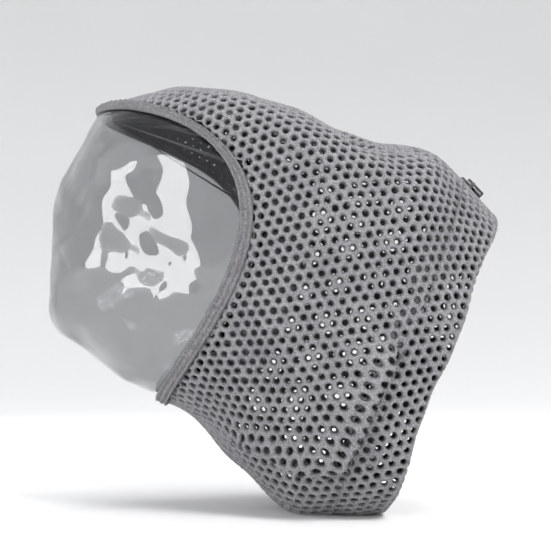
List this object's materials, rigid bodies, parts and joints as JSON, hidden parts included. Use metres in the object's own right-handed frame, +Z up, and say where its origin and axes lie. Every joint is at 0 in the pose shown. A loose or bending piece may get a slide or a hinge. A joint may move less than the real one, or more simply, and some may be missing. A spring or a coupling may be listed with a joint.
{
  "type": "visor hood",
  "caption": "Soft open-mesh head hood with a bulging clear visor sewn into a folded hem, and a drawcord neck casing closed by a sprung cord lock.",
  "frame": {"origin": "middle of the footprint, on the surface the hood lies on", "axes": "+Z up as the hood lies on a table, visor towards -X, neck opening towards +X and down, +Y to the wearer's right"},
  "size_m": [0.2644, 0.1696, 0.249],
  "materials": {
    "spacer_mesh": "matte knitted yarn",
    "thread": "satin thread",
    "seam_tape": "matte woven tape",
    "clear_sheet": "clear flexible sheet",
    "cord": "matte braided cord",
    "black_plastic": "gloss",
    "spring_steel": "bright wire"
  },
  "bodies": {
    "hood": {"left_mesh_panel": "spacer_mesh", "right_mesh_panel": "spacer_mesh", "crown_seam_tape": "seam_tape", "chin_seam_tape": "seam_tape", "visor_hem": "spacer_mesh", "visor_stitch_front": "thread", "visor_stitch_rear": "thread", "visor_upper_right": "clear_sheet", "visor_lower_right": "clear_sheet", "visor_lower_left": "clear_sheet", "visor_upper_left": "clear_sheet", "neck_casing": "spacer_mesh", "casing_stitch": "thread", "drawcord": "cord", "cord_knot": "cord"},
    "cord_lock": {"cord_lock_body": "black_plastic", "cord_lock_spring": "spring_steel"},
    "plunger": {"cord_lock_plunger": "black_plastic"}
  },
  "joints": [
    {"name": "cord_lock_slide", "type": "slide", "parent": "hood", "child": "cord_lock", "axis": [0, 1, 0], "range_m": [-0.003, 0.018]},
    {"name": "plunger_press", "type": "slide", "parent": "cord_lock", "child": "plunger", "axis": [0.6767, 0, -0.7362], "range_m": [0, 0.0028], "stiffness_N_per_m": 900, "springref_m": -0.002, "deforming": ["cord_lock_spring"]}
  ]
}
